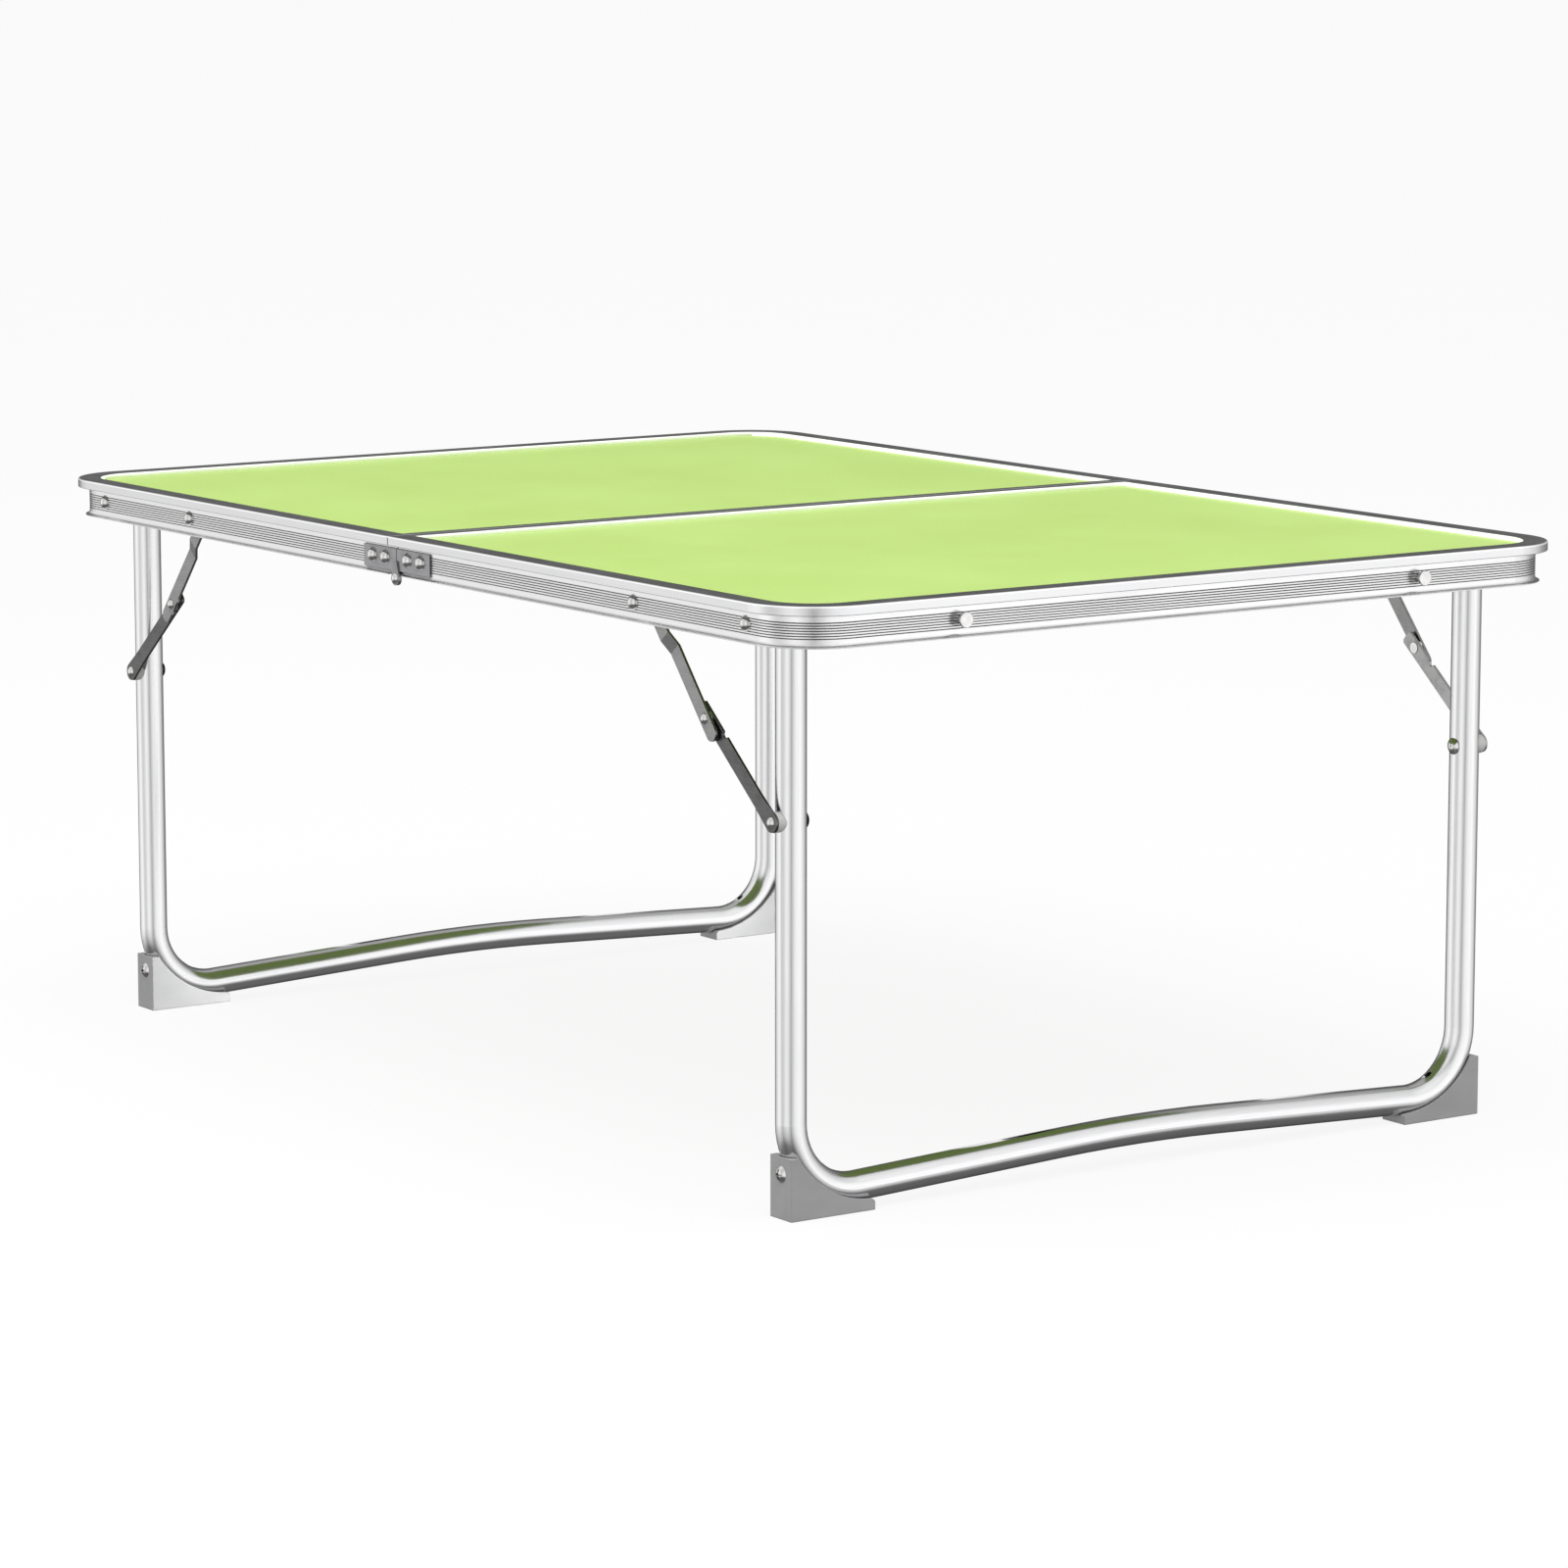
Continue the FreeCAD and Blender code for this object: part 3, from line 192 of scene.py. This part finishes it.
def rim_places(g, x, y):
    """How far a point lies outside the line of the corner arcs' centres, square to the rim."""
    past_x = g.minus(g.absolute(x), HALF_LENGTH - CORNER_RADIUS)
    past_y = g.minus(g.absolute(y), HALF_WIDTH - CORNER_RADIUS)
    out_x = g.math("MAXIMUM", past_x, 0.0)
    out_y = g.math("MAXIMUM", past_y, 0.0)
    round_off = g.math("SQRT", g.plus(g.times(out_x, out_x), g.times(out_y, out_y)))
    inside = g.math("MINIMUM", g.math("MAXIMUM", past_x, past_y), 0.0)
    return g.plus(round_off, inside)


def groove_shade(g, edge, z):
    """Painted shade: 1 in the bottoms of the rim's outer grooves, which are darkened as if shaded, and
    0 elsewhere.
    """
    step = g.math("DIVIDE", g.minus(z, FIRST_GROOVE - GROOVE_PITCH / 2), GROOVE_PITCH)
    off_centre = g.absolute(g.minus(g.math("FRACT", step), 0.5))
    line = g.spread(off_centre, 0.06, 0.20, 1.0, 0.0)
    within = g.times(g.above(step, 0.0), g.below(step, float(GROOVES)))
    return g.times(g.times(line, within), g.above(edge, GROOVE_EDGE))


def wall_glow_share(g, edge, z):
    """Painted light: 1 on the rim's wall above the panel, on walls across the table only near their
    top; it makes the wall glow white and less metallic.
    """
    wall = g.times(g.below(edge, INNER_EDGE), g.above(z, WALL_FOOT))
    wall = g.times(wall, g.spread(z, *WALL_ENDS, 1.0, 0.0))
    normal = g.split(g.node("NewGeometry", "Normal"))
    stands_across = g.above(g.absolute(normal[0]), 0.8)
    shaded = g.times(stands_across, g.spread(z, *ACROSS_WALL_SHADE, 0.85, 0.0))
    return g.times(wall, g.opposite(shaded))


def rim_metal():
    """Bright extruded aluminium. Die lines run along the rail, round its bent corners too. Painted
    light and shade: a whitened web, dark groove bottoms, seam gap and creases, and glow on the inner
    wall, the top outer edge and the seam top.
    """
    g = Graph("rim_aluminium")
    place = g.place()
    x, y, z = g.split(place)
    edge = rim_places(g, x, y)

    # die lines follow the edge, and on the seam rails they follow the seam
    on_seam = g.times(g.below(g.absolute(x), SEAM_RAIL_REACH), g.below(g.absolute(y), SEAM_RAIL_HALF))
    row = g.plus(g.times(on_seam, x), g.times(g.opposite(on_seam), edge))
    along = g.times(g.plus(x, y), 0.004)
    lines = g.noise(g.join(g.plus(row, z), along, g.times(z, 0.3)), 5200, 2.0, 0.6)
    broad = g.noise(g.join(g.plus(row, z), along, 0.0), 1300, 1.0)
    cloud = g.noise(place, 38, 3.0)
    specks = g.noise(place, 2600, 2.0, 0.7)

    tint = g.mix(g.spread(lines, 0.35, 0.7), ALUMINIUM_DULL, ALUMINIUM)
    tint = g.mix(g.spread(cloud, 0.35, 0.75, 0.0, 0.25), tint, (0.95, 0.95, 0.96))
    # painted sheen: the web under the lip is whitened to stand in for the bright light it reflects
    painted_web_sheen = g.times(g.below(z, WEB_TOP), g.above(edge, WEB_EDGE))
    tint = g.mix(g.times(painted_web_sheen, 0.7), tint, (1.0, 1.0, 1.0))
    tint = g.mix(g.times(g.edge_wear(0.35 * MM), 0.5), tint, (0.97, 0.97, 0.98))
    # painted shade darkens the bottoms of the grooves
    tint = g.mix(g.times(groove_shade(g, edge, z), 0.55), tint, (0.16, 0.16, 0.165))
    # painted shade: the hair-line gap at the seam, and with it the seam rails' whole meeting faces, is
    # painted near black except on top
    seam = g.spread(g.absolute(x), *SEAM_SHADE_AND_HIGHLIGHT, 0.95, 0.0)
    on_top = g.above(z, LIP_TOP)
    tint = g.mix(g.times(seam, g.opposite(on_top)), tint, (0.05, 0.05, 0.05))
    # painted shade in the creases on the outside, where parts meet
    outside = g.above(edge, OUTER_EDGE)
    tint = g.mix(g.times(g.painted_crease_shade(1.2 * MM, 0.75), outside), tint, (0.06, 0.06, 0.06))

    # painted light: the inner wall glows white and is made less metallic, though no lamp lights it so
    inner_wall = wall_glow_share(g, edge, z)
    # painted highlight: the rounding of the top outer edge glows
    painted_edge_highlight = g.times(g.spread(edge, *TOP_EDGE), g.spread(z, *TOP_EDGE_HEIGHT))
    glow = g.plus(g.times(inner_wall, 0.55), g.times(painted_edge_highlight, 0.35))
    # painted highlight: on top, the seam line glows
    glow = g.plus(glow, g.times(g.times(seam, on_top), 0.30))

    rough = g.plus(g.spread(lines, 0.3, 0.75, 0.17, 0.30), g.spread(cloud, 0.3, 0.8, 0.0, 0.07))
    rough = g.plus(rough, g.spread(specks, 0.62, 0.75, 0.0, 0.08))
    bumped = g.bump(g.plus(lines, g.times(broad, 0.6)), 0.004 * MM, 0.35, g.soft_edges(0.25 * MM))
    return g.surface(
        Base_Color=tint, Metallic=g.opposite(g.times(inner_wall, 0.8)), Roughness=rough,
        Normal=bumped, Emission_Color=(1.0, 1.0, 1.0), Emission_Strength=glow)


def tube_metal():
    """Satin drawn tube: fine grain along the legs and along the bottom bar, faint handling haze."""
    g = Graph("tube_aluminium")
    place = g.place()
    x, y, z = g.split(place)
    upright = g.noise(g.join(x, y, g.times(z, 0.02)), 3600, 3.0, 0.65)
    level = g.noise(g.join(x, g.times(y, 0.02), z), 3600, 3.0, 0.65)
    on_leg = g.spread(z, *TUBE_BEND)
    grain = g.mix(on_leg, level, upright)
    grain = g.node("SeparateColor", "Red", {"Color": grain})
    haze = g.noise(place, 22, 3.0, 0.6)
    specks = g.noise(place, 3100, 2.0, 0.7)
    tint = g.mix(g.spread(grain, 0.35, 0.7), (0.88, 0.88, 0.89), (0.94, 0.94, 0.95))
    rough = g.plus(g.spread(grain, 0.3, 0.75, 0.16, 0.21), g.spread(haze, 0.35, 0.75, 0.0, 0.05))
    rough = g.plus(rough, g.spread(specks, 0.63, 0.75, 0.0, 0.05))
    bumped = g.bump(grain, 0.003 * MM, 0.25, g.soft_edges(0.2 * MM))
    return g.surface(Base_Color=tint, Metallic=1.0, Roughness=rough, Normal=bumped)


def steel(name, lean, light, dark, rough):
    """Rolled steel strip: brush lines at this lean in radians, burnished edges, faint stains, painted
    shade in its creases.
    """
    g = Graph(name)
    x, y, z = g.split(g.place())
    mirrored = g.join(g.absolute(x), y, z)
    lines = g.noise(g.stretched(mirrored, (0.03, 1, 1), (0, lean, 0)), 3000, 3.0, 0.65)
    stain = g.noise(mirrored, 130, 4.0, 0.6)
    pits = g.node("TexVoronoi", "Distance", {"Vector": mirrored, "Scale": 1500})
    tint = g.mix(g.spread(lines, 0.3, 0.75), dark, light)
    tint = g.mix(g.spread(stain, 0.45, 0.75, 0.0, 0.30), tint, scaled(dark, 0.6))
    tint = g.mix(g.times(g.edge_wear(0.3 * MM), 0.6), tint, (0.72, 0.72, 0.73))
    # painted shade in the creases where parts meet
    tint = g.mix(g.painted_crease_shade(0.9 * MM, 0.7), tint, (0.04, 0.04, 0.04))
    shine = g.plus(g.spread(lines, 0.3, 0.75, rough, rough + 0.12),
                   g.spread(stain, 0.4, 0.8, 0.0, 0.1))
    height = g.plus(g.times(lines, 0.7), g.spread(pits, 0.0, 0.12, -0.5, 0.0))
    bumped = g.bump(height, 0.010 * MM, 0.4, g.soft_edges(0.3 * MM))
    return g.surface(Base_Color=tint, Metallic=1.0, Roughness=shine, Normal=bumped)


def rivet_metal(name, crease_shade_amount):
    """Polished nickel plate with hairline scuffs. The second argument sets how dark the painted shade
    in its creases gets.
    """
    g = Graph(name)
    place = g.place()
    scuffs = g.noise(g.stretched(place, (1, 0.15, 1), (0.4, 0.9, 0.2)), 4200, 4.0, 0.7)
    patch = g.noise(place, 420, 3.0)
    tint = g.mix(g.spread(patch, 0.35, 0.75), NICKEL, (0.88, 0.87, 0.86))
    # painted shade in the creases round the head
    tint = g.mix(g.painted_crease_shade(0.8 * MM, crease_shade_amount), tint, (0.05, 0.05, 0.05))
    rough = g.plus(g.spread(scuffs, 0.5, 0.75, 0.09, 0.24), g.spread(patch, 0.4, 0.8, 0.0, 0.06))
    bumped = g.bump(g.plus(scuffs, g.times(patch, 0.5)), 0.008 * MM, 0.3,
                    g.soft_edges(0.15 * MM))
    return g.surface(Base_Color=tint, Metallic=1.0, Roughness=rough, Normal=bumped)


def panel_paint():
    """Baked green coating: fine orange peel, faint mottling and dust-fine specks under a soft gloss."""
    g = Graph("panel_green")
    place = g.place()
    mottle = g.noise(place, 14, 4.0, 0.55)
    peel = g.noise(place, 900, 2.0, 0.5)
    fine = g.noise(place, 5200, 2.0, 0.6)
    specks = g.node("TexVoronoi", "Distance", {"Vector": place, "Scale": 520})
    tint = g.mix(g.spread(mottle, 0.3, 0.75), GREEN, GREEN_PALE)
    tint = g.mix(g.spread(specks, 0.035, 0.07, 0.22, 0.0), tint, scaled(GREEN, 0.8))
    tint = g.mix(g.spread(fine, 0.3, 0.8, 0.0, 0.12), tint, (0.72, 0.90, 0.42))
    rough = g.plus(g.spread(peel, 0.3, 0.7, 0.44, 0.56), g.spread(mottle, 0.3, 0.8, 0.0, 0.06))
    bumped = g.bump(g.plus(peel, g.times(fine, 0.35)), 0.012 * MM, 0.25)
    return g.surface(Base_Color=tint, Roughness=rough, Normal=bumped, Specular_IOR_Level=0.30)


def moulded_plastic(name, base, pale, roughness):
    """Spark-textured moulded plastic, paler and smoother where edges rub, with painted shade in its
    creases.
    """
    g = Graph(name)
    place = g.place()
    grain = g.node("TexVoronoi", "Distance", {"Vector": place, "Scale": 2400})
    pores = g.noise(place, 4200, 3.0, 0.6)
    flow = g.noise(g.stretched(place, (1, 0.3, 1)), 60, 4.0, 0.6)
    tint = g.mix(g.spread(flow, 0.3, 0.75), base, pale)
    tint = g.mix(g.spread(pores, 0.55, 0.8, 0.0, 0.25), tint, scaled(base, 0.8))
    worn = g.edge_wear(0.5 * MM)
    tint = g.mix(g.times(worn, 0.45), tint, scaled(pale, 1.35))
    # painted shade in the creases where parts meet
    tint = g.mix(g.painted_crease_shade(0.9 * MM, 0.85), tint, (0.03, 0.03, 0.03))
    rough = g.minus(g.spread(pores, 0.3, 0.8, roughness, roughness + 0.12),
                   g.times(worn, 0.15))
    bumped = g.bump(g.plus(grain, g.times(pores, 0.5)), 0.03 * MM, 0.35,
                    g.soft_edges(0.45 * MM))
    return g.surface(Base_Color=tint, Roughness=rough, Normal=bumped, Specular_IOR_Level=0.35)


MATERIALS = {
    "rim_aluminium": rim_metal(),
    "tube_aluminium": tube_metal(),
    "panel_green": panel_paint(),
    "hinge_steel": steel("hinge_steel", 0.0, STEEL, STEEL_DARK, 0.30),
    # rivets and studs differ only in how strong the painted shade in their creases is
    "rivet_steel": rivet_metal("rivet_steel", 0.9),
    "stud_steel": rivet_metal("stud_steel", 0.15),
    "foot_plastic": moulded_plastic("foot_plastic", FOOT_GREY, FOOT_PALE, 0.52),
    "spacer_plastic": moulded_plastic("spacer_plastic", NYLON, (0.70, 0.70, 0.68), 0.42),
}
# Strip steel of the braces, lit and shaded copies by place: lean of its brush lines in degrees, light
# grey and dark grey, where the greys carry painted light and shade (the lower front arms painted dark
# as if in shadow, the lower back arms painted light)
ARM_STEEL_LIT_AND_SHADED = {
    "upper_front": (50.1, 0.42, 0.30),
    "upper_back": (50.1, 0.40, 0.30),
    "lower_front": (39.9, 0.19, 0.12),
    "lower_back": (39.9, 0.52, 0.42),
}
for kind, (lean, light, dark) in ARM_STEEL_LIT_AND_SHADED.items():
    MATERIALS[kind] = steel(f"arm_steel_{kind}", math.radians(lean), (light,) * 3, (dark,) * 3, 0.27)


def material_kind(name, slot):
    """The material for a node: its slot's, but arms go by place, with painted light and shade in their
    greys, and the latch studs get less painted crease shade.
    """
    words = name.split("_")
    if slot == "brace_steel":
        return f"{words[0]}_{words[-1]}"
    if words[:2] == ["latch", "studs"]:
        return "stud_steel"
    return slot


slot_of = {part["node"]: part["material_slot"] for part in frame["record"]["subparts"]}
for name, node in frame["nodes"].items():
    node.data.materials.clear()
    node.data.materials.append(MATERIALS[material_kind(name, slot_of[name])])


# ---------------------------------------------------------------- studio

CAMERA_BEARING = math.radians(34.7)
FLOOR_SIZE = 400
FLOOR_GAP = 0.1 * MM


def studio_world():
    """A bright band round the horizon, dimmer behind the camera, dark behind the table and below."""
    world = bpy.data.worlds.new("studio")
    bpy.context.scene.world = world
    world.use_nodes = True
    tree = world.node_tree
    tree.nodes.clear()
    new, link = tree.nodes.new, tree.links.new
    place = new("ShaderNodeTexCoord")
    split = new("ShaderNodeSeparateXYZ")
    link(place.outputs["Generated"], split.inputs[0])

    def maths(operation, a, b=0.0):
        made = new("ShaderNodeMath")
        made.operation = operation
        for socket, value in zip(made.inputs, (a, b)):
            if isinstance(value, bpy.types.NodeSocket):
                link(value, socket)
            else:
                socket.default_value = value
        return made.outputs[0]

    def ramp(value, stops):
        made = new("ShaderNodeValToRGB")
        made.color_ramp.interpolation = "EASE"
        link(value, made.inputs[0])
        elements = made.color_ramp.elements
        while len(elements) < len(stops):
            elements.new(0.5)
        for element, (position, level) in zip(elements, stops):
            element.position = position
            element.color = (level, level, level, 1)
        return made.outputs[0]

    # the bearing of a direction from the camera's, as 0..1 with the camera's own at 0.5
    bearing = maths("ARCTAN2", split.outputs[1], split.outputs[0])
    turned = maths("ADD", bearing, CAMERA_BEARING)
    wrapped = maths("WRAP", turned, math.pi)
    wrapped.node.inputs[2].default_value = -math.pi
    share = maths("ADD", maths("DIVIDE", wrapped, 2 * math.pi), 0.5)
    around = ramp(share, [
        (0.0, 0.10), (0.08, 0.16), (0.15, 0.75), (0.25, 1.05), (0.32, 0.66),
        (0.42, 1.0), (0.47, 0.75), (0.5, 0.40), (0.535, 0.72), (0.59, 1.0),
        (0.70, 1.1), (0.78, 0.8), (0.87, 0.28), (0.94, 0.12), (1.0, 0.10),
    ])

    # height of a direction: 0 straight down, 0.5 level, 1 straight up
    height = maths("ADD", maths("MULTIPLY", split.outputs[2], 0.5), 0.5)
    up = ramp(height, [
        (0.0, 0.03), (0.15, 0.05), (0.23, 0.15), (0.31, 0.6), (0.38, 1.0),
        (0.60, 1.0), (0.72, 0.85), (0.85, 0.6), (1.0, 0.4),
    ])
    poles = ramp(height, [
        (0.0, 0.14), (0.15, 0.07), (0.24, 0.0), (0.72, 0.0), (0.86, 0.30), (1.0, 0.40),
    ])
    level = maths("ADD", maths("MULTIPLY", around, up), poles)

    # the camera itself sees plain white
    seen = new("ShaderNodeLightPath")
    choose = new("ShaderNodeMix")
    choose.data_type = "FLOAT"
    link(seen.outputs["Is Camera Ray"], choose.inputs[0])
    link(level, choose.inputs[2])
    choose.inputs[3].default_value = 1.0
    shade = new("ShaderNodeBackground")
    link(choose.outputs[0], shade.inputs["Color"])
    shade.inputs["Strength"].default_value = 1.0
    link(shade.outputs[0], new("ShaderNodeOutputWorld").inputs[0])


def studio_floor():
    """A pale floor with faint contact shadows, clear from below. Only the camera sees it."""
    bpy.ops.mesh.primitive_plane_add(size=FLOOR_SIZE, location=(0, 0, -FLOOR_GAP))
    floor = bpy.context.object
    floor.name = "floor"
    g = Graph("floor")
    above = g.opposite(g.node("NewGeometry", "Backfacing"))
    seen = g.times(g.node("LightPath", "Is Camera Ray"), above)
    mottle = g.noise(g.place(), 4.0, 2.0)
    paint = g.mix(mottle, (0.93, 0.93, 0.93), (0.95, 0.95, 0.95))
    diffuse = g.node("BsdfDiffuse", inputs={"Color": paint})
    glow = g.node("Emission", inputs={"Color": (1.0, 1.0, 1.0), "Strength": 1.0})
    pale = g.node("MixShader", inputs={0: 0.88, 1: diffuse, 2: glow})
    clear = g.node("BsdfTransparent")
    shown = g.node("MixShader", inputs={0: seen, 1: clear, 2: pale})
    g.tree.links.new(shown, g.output.inputs["Surface"])
    floor.data.materials.append(g.material)


def soft_box(name, centre, target, size, power, beam=180, only=None):
    """A rectangular lamp left out of reflections. only: the pieces it lights, or None for all."""
    light = bpy.data.lights.new(name, "AREA")
    light.spread = math.radians(beam)
    light.shape = "RECTANGLE"
    light.size, light.size_y = size
    light.energy = power
    holder = bpy.data.objects.new(name, light)
    holder.location = centre
    holder.rotation_mode = "QUATERNION"
    holder.rotation_quaternion = (Vector(target) - Vector(centre)).to_track_quat("-Z", "Y")
    holder.visible_camera = False
    holder.visible_glossy = False
    if only:
        lit = bpy.data.collections.new(f"{name} lights")
        for node in only:
            lit.objects.link(node)
        holder.light_linking.receiver_collection = lit
    bpy.context.scene.collection.objects.link(holder)


def make_camera(centre, azimuth, elevation, distance, lens):
    """A camera that looks at centre. Azimuth 0 is the table's front, 90 half B's end."""
    a, e = math.radians(azimuth), math.radians(elevation)
    back = Vector((math.sin(a) * math.cos(e), -math.cos(a) * math.cos(e), math.sin(e)))
    camera = bpy.data.objects.new("camera", bpy.data.cameras.new("camera"))
    camera.data.lens = lens
    camera.data.sensor_width = 36
    camera.data.clip_start, camera.data.clip_end = 0.1, 50
    camera.location = Vector(centre) + back * distance
    camera.rotation_mode = "QUATERNION"
    camera.rotation_quaternion = (-back).to_track_quat("-Z", "Y")
    bpy.context.scene.collection.objects.link(camera)
    bpy.context.scene.camera = camera


make_camera(centre=(0.0252, -0.0142, 0.1283), azimuth=55.33, elevation=9.01, distance=2.580,
            lens=134.95)
studio_world()
studio_floor()
soft_box("overhead", centre=(0.3, -0.5, 2.2), target=(0, 0, 0.2), size=(2.4, 2.4), power=35)
far_leg = [frame["nodes"]["feet_a"], frame["nodes"]["leg_tube_a"]]
soft_box("low fill", centre=(0.22, 0, 0.06), target=(-0.3, 0, 0.02), size=(0.34, 0.08), power=0.34,
         beam=30, only=far_leg)
bpy.context.scene.view_settings.view_transform = "Standard"
